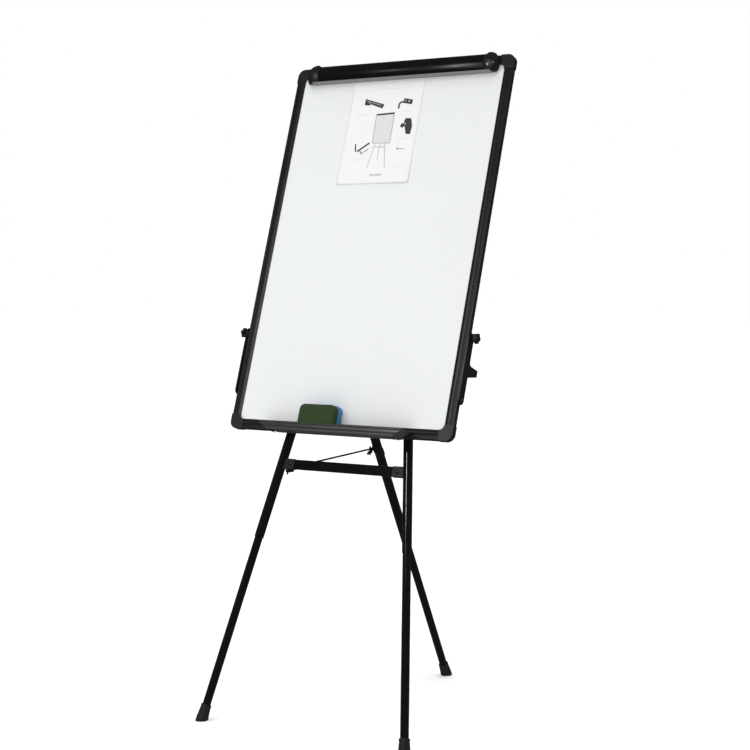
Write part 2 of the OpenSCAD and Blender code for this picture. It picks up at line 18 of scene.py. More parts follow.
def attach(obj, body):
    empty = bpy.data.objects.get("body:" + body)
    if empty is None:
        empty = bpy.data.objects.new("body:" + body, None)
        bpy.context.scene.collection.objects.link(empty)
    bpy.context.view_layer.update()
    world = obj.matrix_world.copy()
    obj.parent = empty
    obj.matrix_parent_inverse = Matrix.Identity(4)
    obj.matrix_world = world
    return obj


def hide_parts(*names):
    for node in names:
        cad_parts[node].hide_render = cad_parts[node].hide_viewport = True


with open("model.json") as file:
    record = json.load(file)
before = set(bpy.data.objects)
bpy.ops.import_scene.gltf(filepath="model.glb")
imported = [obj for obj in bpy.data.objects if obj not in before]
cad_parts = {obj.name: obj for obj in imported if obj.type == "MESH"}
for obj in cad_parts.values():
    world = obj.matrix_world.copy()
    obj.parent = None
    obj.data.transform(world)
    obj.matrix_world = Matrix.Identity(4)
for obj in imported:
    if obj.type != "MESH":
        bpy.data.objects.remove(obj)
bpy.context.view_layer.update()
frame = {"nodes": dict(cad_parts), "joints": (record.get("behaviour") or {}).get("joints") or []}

MM = 0.001
JOINT = {j["name"]: j for j in frame["joints"]}
X_AXIS = Vector((1, 0, 0))


# ---- places on the easel, worked out from the frame ----


def axes_matrix(origin, back, up):
    """A place whose X is across the easel, Y goes back and Z goes up the given direction."""
    return Matrix.Translation(origin) @ Matrix((X_AXIS, back, up)).transposed().to_4x4()


CLAMP_PIVOT_BACK, CLAMP_PIVOT_UP = -6, 911
BRACE_FOOT, BRACE_END, BRACE_RADIUS = Vector((-160, 12, 604)), Vector((-2, 106, 680)), 2.25

board_up = Vector(JOINT["eraser_lift"]["axis"]).normalized()
board_back = board_up.cross(X_AXIS)
board_origin = (
    Vector(JOINT["clamp_flip"]["pos_m"])
    - board_back * (CLAMP_PIVOT_BACK * MM)
    - board_up * (CLAMP_PIVOT_UP * MM)
)
BOARD = axes_matrix(board_origin, board_back, board_up)

leg_up = -Vector(JOINT["brace_swing"]["axis"]).normalized()
leg_back = leg_up.cross(X_AXIS)
leg_turn = Matrix((X_AXIS, leg_back, leg_up)).transposed()
leg_origin = Vector(JOINT["brace_swing"]["pos_m"]) - leg_turn @ (BRACE_FOOT * MM)
LEG_PLANE = axes_matrix(leg_origin, leg_back, leg_up)


# ---- materials ----


def grey(value):
    return (value, value, value)


class Shader:
    """A node material that is put together one node at a time."""

    def __init__(self, name):
        self.mat = bpy.data.materials.new(name)
        self.mat.use_nodes = True
        self.tree = self.mat.node_tree
        self.bsdf = self.tree.nodes["Principled BSDF"]
        self.coords = self.tree.nodes.new("ShaderNodeTexCoord").outputs["Object"]

    def link(self, source, target):
        self.tree.links.new(source, target)

    def place(self, stretch=(1, 1, 1), turn=(0, 0, 0)):
        """Object coordinates, turned and then scaled along their own axes."""
        turned = self.tree.nodes.new("ShaderNodeMapping")
        turned.inputs["Rotation"].default_value = turn
        self.link(self.coords, turned.inputs["Vector"])
        scaled = self.tree.nodes.new("ShaderNodeMapping")
        scaled.inputs["Scale"].default_value = stretch
        self.link(turned.outputs[0], scaled.inputs["Vector"])
        return scaled.outputs[0]

    def noise(self, scale, detail=3, stretch=(1, 1, 1), turn=(0, 0, 0), distortion=0):
        tex = self.tree.nodes.new("ShaderNodeTexNoise")
        tex.inputs["Scale"].default_value = scale
        tex.inputs["Detail"].default_value = detail
        tex.inputs["Distortion"].default_value = distortion
        self.link(self.place(stretch, turn), tex.inputs["Vector"])
        return tex.outputs["Fac"]

    def cells(self, scale):
        tex = self.tree.nodes.new("ShaderNodeTexVoronoi")
        tex.inputs["Scale"].default_value = scale
        self.link(self.place(), tex.inputs["Vector"])
        return tex.outputs

    def ramp(self, source, stops):
        """Maps a value to colours: stops are (position, grey or colour)."""
        node = self.tree.nodes.new("ShaderNodeValToRGB")
        for i, (position, colour) in enumerate(stops):
            if i >= 2:
                node.color_ramp.elements.new(position)
            element = node.color_ramp.elements[i]
            element.position = position
            element.color = (*(colour if isinstance(colour, tuple) else grey(colour)), 1)
        self.link(source, node.inputs["Fac"])
        return node.outputs["Color"]

    def mix(self, factor, a, b):
        """a where factor is 0 and b where it is 1; each is a colour or a socket."""
        node = self.tree.nodes.new("ShaderNodeMix")
        node.data_type = "RGBA"
        self.link(factor, node.inputs[0])
        for value, socket in ((a, node.inputs[6]), (b, node.inputs[7])):
            if isinstance(value, tuple):
                socket.default_value = (*value, 1)
            else:
                self.link(value, socket)
        return node.outputs[2]

    def colour(self, source):
        self.link(source, self.bsdf.inputs["Base Color"])

    def roughness(self, source, low, high):
        self.link(self.ramp(source, [(0.3, low), (0.7, high)]), self.bsdf.inputs["Roughness"])

    def bump(self, source, depth, strength=1.0):
        """depth is the real height of the relief in metres."""
        node = self.tree.nodes.new("ShaderNodeBump")
        node.inputs["Distance"].default_value = depth
        node.inputs["Strength"].default_value = strength
        self.link(source, node.inputs["Height"])
        if self.bsdf.inputs["Normal"].is_linked:
            before = self.bsdf.inputs["Normal"].links[0].from_socket
            self.link(before, node.inputs["Normal"])
        self.link(node.outputs["Normal"], self.bsdf.inputs["Normal"])

    def set(self, **values):
        """Sets sockets of the shader; an underscore stands for a space in a socket's name."""
        for name, value in values.items():
            self.bsdf.inputs[name.replace("_", " ")].default_value = value
        return self


def enamel():
    s = Shader("enamel_white")
    cloud = s.noise(3, 2)
    s.colour(s.ramp(cloud, [(0.3, (0.78, 0.79, 0.785)), (0.7, (0.795, 0.805, 0.80))]))
    s.roughness(s.noise(5, 3), 0.5, 0.56)
    s.bump(s.noise(160, 2), 0.00002)
    return s.set(Specular_IOR_Level=0.3).mat


def coated_metal(name, dark, light, rough, stretch, turn, shine=0.5):
    """A satin dark coat on an extrusion, with faint lines drawn along it."""
    s = Shader(name)
    lines = s.noise(900, 2, stretch=stretch, turn=turn)
    patches = s.noise(14, 3)
    s.colour(s.mix(patches, dark, light))
    s.roughness(patches, *rough)
    s.bump(lines, 0.00003, 0.6)
    s.bump(s.noise(2200, 2), 0.00002, 0.5)
    return s.set(Specular_IOR_Level=shine).mat


def tube_paint():
    s = Shader("tube_paint_black")
    patches = s.noise(11, 3)
    s.colour(s.mix(patches, grey(0.0025), grey(0.005)))
    s.roughness(patches, 0.09, 0.14)
    s.bump(s.noise(700, 3), 0.00001, 0.4)
    return s.set(Specular_IOR_Level=0.5).mat


def moulded(name, dark, light, rough):
    """Injection-moulded plastic with a spark-eroded grain."""
    s = Shader(name)
    s.colour(s.mix(s.noise(30, 3), dark, light))
    s.roughness(s.noise(60, 2), *rough)
    s.bump(s.noise(1500, 3), 0.00005, 0.7)
    return s.mat


def zinc():
    s = Shader("zinc_steel")
    s.colour(s.mix(s.noise(120, 3), (0.72, 0.72, 0.7344), (0.54, 0.5472, 0.576)))
    s.roughness(s.noise(400, 3), 0.2, 0.38)
    s.bump(s.noise(1800, 2), 0.00003, 0.5)
    return s.set(Metallic=1.0).mat


def galvanised():
    s = Shader("galvanised_back")
    spangle = s.cells(160)
    s.colour(s.ramp(spangle["Color"], [(0.2, (0.42, 0.43, 0.45)), (0.8, (0.52, 0.53, 0.55))]))
    s.roughness(spangle["Distance"], 0.35, 0.5)
    s.bump(spangle["Distance"], 0.00004, 0.5)
    return s.set(Metallic=0.85).mat


def soft_strip():
    s = Shader("soft_strip_grey")
    s.colour(s.mix(s.noise(90, 3), (0.18, 0.165, 0.167), (0.23, 0.21, 0.213)))
    s.roughness(s.noise(200, 2), 0.45, 0.6)
    s.bump(s.noise(900, 3), 0.00005, 0.6)
    return s.mat


def rubber():
    s = Shader("boot_rubber")
    dust = s.noise(45, 5)
    s.colour(s.ramp(dust, [(0.4, 0.010), (0.62, 0.014), (0.75, (0.035, 0.034, 0.032))]))
    s.roughness(dust, 0.55, 0.8)
    s.bump(s.noise(900, 4), 0.0001, 0.6)
    return s.mat


def felt():
    s = Shader("felt_green")
    tufts = s.noise(420, 6, distortion=2)
    patches = s.noise(35, 4)
    light = s.mix(patches, (0.026, 0.053, 0.009), (0.036, 0.068, 0.013))
    s.colour(s.mix(tufts, (0.015, 0.031, 0.005), light))
    s.roughness(tufts, 0.85, 1.0)
    s.bump(tufts, 0.0004, 0.8)
    s.bump(s.noise(60, 4), 0.0005, 0.5)
    return s.set(Sheen_Weight=0.05, Sheen_Roughness=0.5, Sheen_Tint=(0.4, 0.6, 0.2, 1)).mat


def paper():
    s = Shader("leaflet_paper")
    s.colour(s.mix(s.noise(40, 4), grey(0.825), grey(0.85)))
    s.roughness(s.noise(300, 3), 0.5, 0.65)
    s.bump(s.noise(1400, 5), 0.00004, 0.5)
    return s.mat


def ink(name, value):
    s = Shader(name)
    s.colour(s.ramp(s.noise(900, 4), [(0.35, value * 0.85), (0.75, value * 1.3)]))
    s.roughness(s.noise(300, 2), 0.55, 0.7)
    return s.mat


def board_core():
    s = Shader("core_board")
    fibres = s.noise(260, 5, stretch=(1, 1, 4))
    s.colour(s.mix(fibres, (0.3, 0.2, 0.11), (0.45, 0.33, 0.2)))
    s.roughness(fibres, 0.7, 0.9)
    s.bump(fibres, 0.0003)
    return s.mat


def make_materials():
    lean = (math.acos(board_up.z), 0, 0)
    drawn_up, drawn_across, cast = (1, 1, 0.01), (0.01, 1, 1), (1, 1, 1)
    frame_coat = ((0.008, 0.008, 0.0075), (0.014, 0.014, 0.013), (0.3, 0.4))
    bar_coat = (grey(0.0035), grey(0.006), (0.22, 0.3))
    tray_coat = ((0.028, 0.028, 0.027), (0.044, 0.044, 0.042), (0.26, 0.36))
    bracket_coat = (grey(0.004), grey(0.008), (0.3, 0.42))
    return {
        "enamel": enamel(),
        "frame_up": coated_metal("frame_coat_side", *frame_coat, drawn_up, lean, 0.25),
        "frame_across": coated_metal("frame_coat_level", *frame_coat, drawn_across, lean, 0.25),
        "bar": coated_metal("clamp_bar_coat", *bar_coat, drawn_across, lean, 0.18),
        "tray": coated_metal("tray_coat", *tray_coat, drawn_across, lean),
        "tube": tube_paint(),
        "bracket": coated_metal("bracket_coat", *bracket_coat, cast, (0, 0, 0)),
        "plastic": moulded("moulded_black", grey(0.006), grey(0.011), (0.38, 0.48)),
        "blue": moulded("moulded_blue", (0.025, 0.16, 0.34), (0.032, 0.19, 0.4), (0.35, 0.45)),
        "steel": zinc(),
        "back": galvanised(),
        "lip": soft_strip(),
        "rubber": rubber(),
        "felt": felt(),
        "paper": paper(),
        "ink_dark": ink("ink_dark", 0.035),
        "ink_mid": ink("ink_mid", 0.36),
        "ink_pale": ink("ink_pale", 0.68),
        "core": board_core(),
    }


MAT = make_materials()

NODE_MATERIALS = {
    "enamel": ["writing_sheet"],
    "core": ["board_core"],
    "back": ["back_sheet"],
    "frame_up": ["frame_left", "frame_right"],
    "frame_across": ["frame_top", "frame_bottom", "clamp_base"],
    "bar": ["clamp_bar"],
    "tray": ["pen_tray"],
    "plastic": [
        "top_corners",
        "bottom_corners",
        "clamp_cap_left",
        "clamp_cap_right",
        "front_bushes",
        "rear_bush",
        "leg_top_caps",
        "board_saddles",
        "leg_brake_left",
        "leg_brake_right",
        "leg_brake_rear",
        "knob_left",
        "knob_right",
    ],
    "steel": [
        "corner_screws",
        "frame_screws",
        "clamp_rod",
        "clamp_rivets",
        "clamp_springs",
        "arm_pin_left",
        "arm_pin_right",
        "knob_studs",
        "back_screws",
        "leg_bolts",
        "saddle_straps",
        "hinge_pin",
    ],
    "lip": ["clamp_lip"],
    "paper": ["leaflet"],
    "felt": ["eraser_felt"],
    "blue": ["eraser_back"],
    "tube": [
        "front_leg_left",
        "front_leg_right",
        "rear_leg",
        "lower_leg_left",
        "lower_leg_right",
        "lower_leg_rear",
        "crossbar",
        "hinge_bar",
        "brace_rod",
    ],
    "bracket": [
        "side_arm_left",
        "side_arm_right",
        "top_bracket",
        "hinge_bracket",
        "crossbar_brackets",
        "crossbar_rivets",
        "rear_leg_eye",
        "brace_clip",
    ],
    "rubber": ["foot_left", "foot_right", "foot_rear"],
}


def paint(obj, material):
    obj.data.materials.clear()
    obj.data.materials.append(MAT[material])


for material, nodes in NODE_MATERIALS.items():
    for node in nodes:
        paint(frame["nodes"][node], material)


# ---- edges of the CAD nodes ----


def soften(node, width):
    """Rounds a CAD node's sharp edges with modifiers, which leave its own mesh as it is."""
    obj = frame["nodes"][node]
    weld = obj.modifiers.new("weld", "WELD")
    weld.merge_threshold = 1e-6
    edges = obj.modifiers.new("bevel", "BEVEL")
    edges.width = width
    edges.segments = 2
    edges.limit_method = "ANGLE"
    edges.angle_limit = math.radians(32)
    edges.miter_outer = "MITER_ARC"
    edges.use_clamp_overlap = True
    edges.harden_normals = True


EDGE_RADII = {
    0.25 * MM: ["frame_left", "frame_right", "frame_top", "frame_bottom", "clamp_base"],
    1.2 * MM: ["top_corners", "bottom_corners"],
    0.8 * MM: ["board_saddles"],
    0.5 * MM: ["clamp_lip", "side_arm_left", "side_arm_right", "hinge_bar", "crossbar"],
    0.4 * MM: ["pen_tray", "top_bracket", "hinge_bracket", "crossbar_brackets", "rear_leg_eye"],
    0.3 * MM: ["clamp_bar", "brace_clip", "saddle_straps", "leg_bolts"],
}
for width, nodes in EDGE_RADII.items():
    for node in nodes:
        soften(node, width)


# ---- mesh helpers ----


def facing(place, outward, top=(0, 0, 1)):
    """A place at a point given in millimetres, whose Z points outward."""
    z = Vector(outward).normalized()
    x = Vector(top).cross(z).normalized()
    turn = Matrix((x, z.cross(x), z)).transposed().to_4x4()
    return Matrix.Translation(Vector(place) * MM) @ turn


def piece(name, bm, body, material, replaces=(), place=None, smooth=40):
    """Finishes a mesh: its lengths are in millimetres in the axes of place."""
    bmesh.ops.recalc_face_normals(bm, faces=bm.faces)
    mesh = bpy.data.meshes.new(name)
    bm.to_mesh(mesh)
    bm.free()
    mesh.transform(Matrix.Scale(MM, 4))
    if place is not None:
        mesh.transform(place)
    obj = bpy.data.objects.new(name, mesh)
    bpy.context.collection.objects.link(obj)
    mesh.materials.append(MAT[material])
    mesh.shade_smooth()
    if smooth:
        mesh.set_sharp_from_angle(angle=math.radians(smooth))
    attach(obj, body)
    if replaces:
        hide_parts(*replaces)
    return obj


def bevel(obj, width_mm, angle):
    edges = obj.modifiers.new("bevel", "BEVEL")
    edges.width = width_mm * MM
    edges.segments = 3
    edges.limit_method = "ANGLE"
    edges.angle_limit = math.radians(angle)


def angles(count):
    """Angles evenly round a circle."""
    return [2 * math.pi * i / count for i in range(count)]


def loft(bm, rings):
    """Skins rings of points, each a list of the same length, and closes both ends."""
    made = [[bm.verts.new(p) for p in ring] for ring in rings]
    count = len(made[0])
    for low, high in zip(made, made[1:]):
        for i in range(count):
            j = (i + 1) % count
            bm.faces.new((low[i], low[j], high[j], high[i]))
    bm.faces.new(list(reversed(made[0])))
    bm.faces.new(made[-1])


def turned(bm, profile, outline=None, segments=48, place=None):
    """A turned solid along Z: profile is (z, radius); outline(angle, radius) may reshape it."""
    place = place or Matrix()
    rings = []
    for z, radius in profile:
        ring = []
        for a in angles(segments):
            r = outline(a, radius) if outline else radius
            ring.append(place @ Vector((r * math.cos(a), r * math.sin(a), z)))
        rings.append(ring)
    loft(bm, rings)


def in_mm(matrix):
    """The same place with its distances in millimetres, for meshes drawn in millimetres."""
    out = matrix.copy()
    out.translation = matrix.translation / MM
    return out


def filleted(points, radius):
    """A path through the points with its corners rounded off."""
    steps = 8
    path = [points[0]]
    for before, corner, after in zip(points, points[1:], points[2:]):
        start = corner + (before - corner).normalized() * radius
        end = corner + (after - corner).normalized() * radius
        for i in range(steps + 1):
            t = i / steps
            path.append(start.lerp(corner, t).lerp(corner.lerp(end, t), t))
    path.append(points[-1])
    return path


def tangents_of(path):
    last = len(path) - 1
    return [(path[min(i + 1, last)] - path[max(i - 1, 0)]).normalized() for i in range(last + 1)]


def circle(centre, one, two, radius, segments):
    """Points round a centre, in the plane of the directions one and two."""
    return [
        centre + one * (radius * math.cos(a)) + two * (radius * math.sin(a)) for a in angles(segments)
    ]


def swept(bm, path, radius, segments=16):
    """A round bar along a path, its frame carried along without twist; its ends are domed."""
    path = [Vector(p) for p in path]
    tangents = tangents_of(path)
    side = tangents[0].orthogonal().normalized()
    rings = []

    def ring(centre, tangent, r):
        rings.append(circle(centre, side, tangent.cross(side), r, segments))

    domes = [(1.0, 0.25), (0.75, 0.66), (0.35, 0.94)]
    for back, share in domes:
        ring(path[0] + tangents[0] * radius * 0.5 * (1 - back), tangents[0], radius * share)
    for i, (centre, tangent) in enumerate(zip(path, tangents)):
        side = (side - tangent * side.dot(tangent)).normalized()
        if 0 < i < len(path) - 1:
            ring(centre, tangent, radius)
    for back, share in reversed(domes):
        ring(path[-1] - tangents[-1] * radius * 0.5 * (1 - back), tangents[-1], radius * share)
    loft(bm, rings)


def smoothstep(x, low, high):
    t = min(max((x - low) / (high - low), 0), 1)
    return t * t * (3 - 2 * t)


# ---- star knobs ----

KNOB_X, KNOB_UP = 304.1, 237
FRAME_MID = 8.2  # how far back the middle of the frame's depth is
LOBE_REACH, BODY_R, LOBE_AT, LOBE_R = 12.2, 9.2, 8.6, 3.6


def star(angle, radius):
    """Five round lobes on a round body; radius is the reach of the lobes."""
    shrink = LOBE_REACH - radius
    body, lobe_r = BODY_R - shrink, LOBE_R - shrink
    off = math.remainder(angle, math.radians(72))
    across = LOBE_AT * math.sin(off)
    lobe = 0
    if abs(across) < lobe_r:
        lobe = LOBE_AT * math.cos(off) + math.sqrt(lobe_r**2 - across**2)
    blend = 2.2
    return math.log(math.exp(blend * body) + math.exp(blend * lobe)) / blend


def make_knob(side, name):
    bm = bmesh.new()
    turned(bm, [(0, 4.6), (0.4, 5), (6.4, 5), (7.2, 6.2)])
    lobed = [(7.0, 10.6), (7.3, 11.5), (8.0, 12.0), (9.0, LOBE_REACH), (15.0, LOBE_REACH)]
    lobed += [(16.2, 12.0), (16.9, 11.4), (17.2, 10.4)]
    turned(bm, lobed, star, segments=160)
    turned(bm, [(16.8, 8.2), (17.5, 8.0), (18.0, 7.2), (18.2, 6.2), (18.2, 5.0), (17.7, 4.6)])
    place = BOARD @ facing((side * KNOB_X, FRAME_MID, KNOB_UP), (side, 0, 0))
    piece(f"star_{name}_knob", bm, f"{name}_knob", "plastic", [f"knob_{name}"], place, 50)


make_knob(-1, "left")
make_knob(1, "right")


# ---- rubber boots ----


FOOT_X, SPLAY, TUBE_R, REAR_LENGTH = 272, math.radians(9.3), 11, 850


def tube_place(joint, foot=None):
    """The axis of a leg's tube: its Z goes up the tube from the point at the floor."""
    up = -Vector(JOINT[joint]["axis"]).normalized()
    if foot is None:
        foot = Vector(JOINT["rear_leg_fold"]["pos_m"]) - up * (REAR_LENGTH * MM)
    side = (X_AXIS - up * X_AXIS.dot(up)).normalized()
    return Matrix.Translation(foot) @ Matrix((side, up.cross(side), up)).transposed().to_4x4()


LEG_AXIS = {
    "left": tube_place("left_leg_extend", LEG_PLANE @ Vector((-FOOT_X * MM, 0, 0))),
    "right": tube_place("right_leg_extend", LEG_PLANE @ Vector((FOOT_X * MM, 0, 0))),
    "rear": tube_place("rear_leg_extend"),
}


def boot_profile():
    """A boot's outside, up from its foot over six grip rings to its rim, and down its bore."""
    wall = [(-12, 13.9), (9, 13.9), (11, 13.8), (12.4, 13.3)]
    for i in range(6):
        z = 14 + i * 3
        r = 13.6 - (z - 12) * 2 / 24
        wall += [(z, r), (z + 0.5, r - 0.7), (z + 1.3, r - 0.7), (z + 1.8, r - 0.15)]
    wall += [(32.6, 11.7), (33.2, 12.2), (36.4, 12.1), (37.6, 11.6), (38, 10.9)]
    return wall + [(38, 9.9), (37.4, 9.56), (24, 9.56)]


def cut_off(bm, point, normal):
    """Cuts away what lies beyond a plane and closes the cut."""
    everything = bm.verts[:] + bm.edges[:] + bm.faces[:]
    cut = bmesh.ops.bisect_plane(
        bm, geom=everything, plane_co=point, plane_no=normal, clear_outer=True
    )
    rim = [e for e in cut["geom_cut"] if isinstance(e, bmesh.types.BMEdge)]
    bmesh.ops.contextual_create(bm, geom=rim)


for name, place in LEG_AXIS.items():
    bm = bmesh.new()
    turned(bm, boot_profile(), segments=64, place=in_mm(place))
    cut_off(bm, (0, 0, 0.02), (0, 0, -1))
    boot = piece("boot_" + name, bm, f"{name}_lower_leg", "rubber", ["foot_" + name])
    bevel(boot, 0.9, 50)


# ---- bent brace rod ----

bm = bmesh.new()
swept(bm, filleted([BRACE_FOOT - Vector((0, 0, 15)), BRACE_FOOT, BRACE_END], 4.5), BRACE_RADIUS)
piece("brace_wire", bm, "brace", "tube", ["brace_rod"], LEG_PLANE, 60)

down_rear = leg_turn.transposed() @ -(LEG_AXIS["rear"].to_3x3() @ Vector((0, 0, 1)))
bm = bmesh.new()
swept(bm, [BRACE_END + down_rear * t for t in (-7.5, -5, 9, 11.5)], BRACE_RADIUS)
piece("brace_pin", bm, "brace", "tube", (), LEG_PLANE, 60)


def weld_bead(bm, points, radius, seed):
    """A rippled bead of weld along a line."""
    path = []
    for a, b in zip(points, points[1:]):
        a, b = Vector(a), Vector(b)
        steps = max(2, int((b - a).length / 0.7))
        path += [a.lerp(b, i / steps) for i in range(steps)]
    path.append(Vector(points[-1]))
    rings = []
    for i, (centre, tangent) in enumerate(zip(path, tangents_of(path))):
        ripple = 0.16 * math.sin(i * 2.1) + 0.2 * noise.noise(Vector((i * 0.37, seed, 0)))
        r = radius * (1 + ripple) * (0.5 if i in (0, len(path) - 1) else 1)
        one = tangent.orthogonal().normalized()
        rings.append(circle(centre, one, tangent.cross(one), r, 10))
    loft(bm, rings)


bm = bmesh.new()
around = down_rear.orthogonal().normalized()
loop = circle(BRACE_END, around, down_rear.cross(around), 2.4, 16)
weld_bead(bm, loop + loop[:1], 0.9, 3)
piece("brace_weld", bm, "brace", "tube", (), LEG_PLANE, 60)


# ---- clamp springs ----

SPRING_X, COIL_R, WIRE_R = 195, 3.25, 0.65


def spring_path(side):
    """A torsion spring on the hinge rod: a leg on the frame, four turns, and a leg on the bar."""
    path = [(0, COIL_R, z) for z in (-11, -7, -3)]
    end_angle = 4 * 2 * math.pi + math.pi - 0.45
    steps = 120
    for i in range(steps + 1):
        a = end_angle * i / steps
        path.append((6 * i / steps, COIL_R * math.cos(a), COIL_R * math.sin(a)))
    path += [(x, -COIL_R, 1.5) for x in (7.5, 11, 15)]
    return [(side * (SPRING_X + x), CLAMP_PIVOT_BACK + y, CLAMP_PIVOT_UP + z) for x, y, z in path]


bm = bmesh.new()
for side in (-1, 1):
    swept(bm, spring_path(side), WIRE_R, 10)
piece("clamp_coils", bm, "stand", "steel", ["clamp_springs"], BOARD, 60)


# ---- screws, rivets and bolts ----


def dome_head(bm, place, shank_r, shank, radius, height, recess=0.0):
    """A domed head with a shank below; recess is the share of the head its cross takes."""
    turns = angles(48)
    rings = []
    for r, z in [(shank_r * 0.85, -shank), (shank_r, -shank + 0.3), (shank_r, 0), (radius, 0)]:
        rings.append([(r * math.cos(a), r * math.sin(a), z) for a in turns])
    for share in (1.0, 0.985, 0.94, 0.86, 0.76, 0.66, 0.56, 0.47, 0.38, 0.3, 0.22, 0.15, 0.08):
        ring = []
        for a in turns:
            x, y = share * math.cos(a), share * math.sin(a)
            z = height * (0.28 + 0.72 * math.sqrt(max(1 - share**2.4, 0)))
            if recess:
                arm = 1 - smoothstep(min(abs(x), abs(y)), 0.1, 0.17)
                z -= arm * (1 - smoothstep(share, recess - 0.1, recess)) * height * 0.62
            ring.append((x * radius, y * radius, z))
        rings.append(ring)
    loft(bm, [[place @ Vector(p) for p in ring] for ring in rings])


def hexagon(angle, radius):
    """A turned ring kept within a hexagon 9.5 mm across its flats."""
    flat = 5.5 * math.cos(math.radians(30))
    off = math.remainder(angle, math.radians(60))
    return min(radius, flat / math.cos(off))


def hex_bolt(bm, place):
    washer = [(0, 6.3), (0.2, 6.5), (0.8, 6.5), (1, 6.3)]
    turned(bm, [(-30, 2.6), (-29.4, 3), (0, 3), *washer], place=place)
    head = [(1, 6), (4.2, 6), (4.6, 5.5), (4.9, 5.0), (5, 4.4), (4.85, 4.0)]
    turned(bm, head, hexagon, segments=96, place=place)


CROSS = 0.62  # share of a screw's head that its cross takes
FRAME_HALF, CORNER_SCREW_UP = 300, (43, 877)
ARM_FACE, ARM_PIN_UP = 304, 96

bm = bmesh.new()
for side in (-1, 1):
    for up in CORNER_SCREW_UP:
        place = in_mm(facing((side * FRAME_HALF, FRAME_MID, up), (side, 0, 0)))
        dome_head(bm, place, 1.5, 11, 3.2, 1.8, CROSS)
piece("corner_screw_heads", bm, "stand", "steel", ["corner_screws"], BOARD, 30)

for side, name in ((-1, "left"), (1, "right")):
    bm = bmesh.new()
    place = in_mm(facing((side * ARM_FACE, FRAME_MID, ARM_PIN_UP), (side, 0, 0)))
    dome_head(bm, place, 1.5, 3.5, 3.4, 2.2)
    piece(f"arm_rivet_{name}", bm, f"{name}_arm", "steel", [f"arm_pin_{name}"], BOARD, 30)

CLAMP_MID_BACK, CLAMP_MID_UP, CLAMP_LOW, BAR_HALF = 10, 899, 880, 229


def on_clamp(x, turn, radius, slope):
    """A place on the clamp's domed cap: turned over the top, and sloping off to the side."""
    a, b = math.radians(turn), math.radians(slope)
    out = Vector((0, -math.sin(a), math.cos(a)))
    centre = Vector((x, CLAMP_MID_BACK, CLAMP_MID_UP)) + out * radius
    return in_mm(facing(centre, out * math.cos(b) + X_AXIS * math.sin(b)))


bm = bmesh.new()
dome_head(bm, on_clamp(BAR_HALF + 14, 109, 31.9, 12.7), 1.5, 4, 2.6, 1.6)
dome_head(bm, on_clamp(BAR_HALF + 27, 100, 27.6, 26.6), 1.5, 4, 2.6, 1.6)
piece("clamp_rivet_heads", bm, "clamp", "steel", ["clamp_rivets"], BOARD, 30)


# ---- clamp ends ----


def cap_profile():
    """A cap's radius along the clamp: a low rise out of the bar, then a dome."""
    rise = [(9 * i / 6, 31 - 1.5 * math.cos(math.pi * i / 6)) for i in range(6)]
    dome = []
    for i in range(15):
        a = math.radians(6 * i)
        dome.append((9 + 27 * math.sin(a) ** 0.96, 14 + 18.5 * math.cos(a) ** 0.9))
    return rise + dome


def dome_part(side, cuts):
    """The turned cap with what lies beyond each plane (point, normal) cut away."""
    bm = bmesh.new()
    place = facing((side * BAR_HALF, CLAMP_MID_BACK, CLAMP_MID_UP), (side, 0, 0))
    turned(bm, cap_profile(), segments=128, place=in_mm(place))
    for point, normal in cuts:
        cut_off(bm, point, normal)
    return bm


def add_mesh(bm, other):
    """Joins another mesh into this one."""
    mesh = bpy.data.meshes.new("joined")
    other.to_mesh(mesh)
    other.free()
    bm.from_mesh(mesh)
    bpy.data.meshes.remove(mesh)


def make_cap(side, name):
    """A clamp's domed end: the part in front of the board, the part in front of the hinge, the
    corner past the lip, the boss round the hinge rod and the sleeve inside the bar."""
    back, up, down, inward = (0, 1, 0), (0, 0, 1), (0, 0, -1), (-side, 0, 0)
    before_board, before_hinge = ((0, -2.2, 0), back), ((0, -10.2, 0), back)
    hinge, low, lowest = (0, 0, CLAMP_PIVOT_UP), (0, 0, CLAMP_LOW), (0, 0, CLAMP_LOW - 3.5)
    past_lip = ((side * (BAR_HALF + 18.1), 0, 0), inward)
    bm = dome_part(side, [before_board, (low, down), (hinge, up)])
    add_mesh(bm, dome_part(side, [before_hinge, (hinge, down)]))
    add_mesh(bm, dome_part(side, [before_board, (lowest, down), (low, up), past_lip]))
    boss = in_mm(facing((side * BAR_HALF, CLAMP_PIVOT_BACK, CLAMP_PIVOT_UP), (side, 0, 0)))
    turned(bm, [(0, 3.6), (0.4, 3.9), (19.4, 3.9), (20, 3.4)], place=boss)
    arc = [math.radians(d) for d in range(-15, 25, 3)]
    section = [(27, a) for a in arc] + [(24, a) for a in reversed(arc)]
    sleeve = []
    for x in (BAR_HALF - 22, BAR_HALF + 1):
        ring = []
        for r, a in section:
            ring.append((side * x, CLAMP_MID_BACK - r * math.cos(a), CLAMP_MID_UP - r * math.sin(a)))
        sleeve.append(ring)
    loft(bm, sleeve)
    cap = piece(f"clamp_dome_{name}", bm, "clamp", "plastic", [f"clamp_cap_{name}"], BOARD, 35)
    bevel(cap, 0.6, 40)


make_cap(-1, "left")
make_cap(1, "right")


# ---- screws of the frame and the stand ----

bm = bmesh.new()
for x in (-200, -80, 80, 200):
    dome_head(bm, in_mm(facing((x, -1.5, 902), (0, -1, 0))), 1.5, 4.2, 2.8, 1.5, CROSS)
for x in (-150, -60, 60, 150):
    place = in_mm(facing((x, FRAME_MID, -1.6), (0, 0, -1), (1, 0, 0)))
    dome_head(bm, place, 1.5, 7, 2.8, 1.5, CROSS)
piece("frame_screw_heads", bm, "stand", "steel", ["frame_screws"], BOARD, 30)

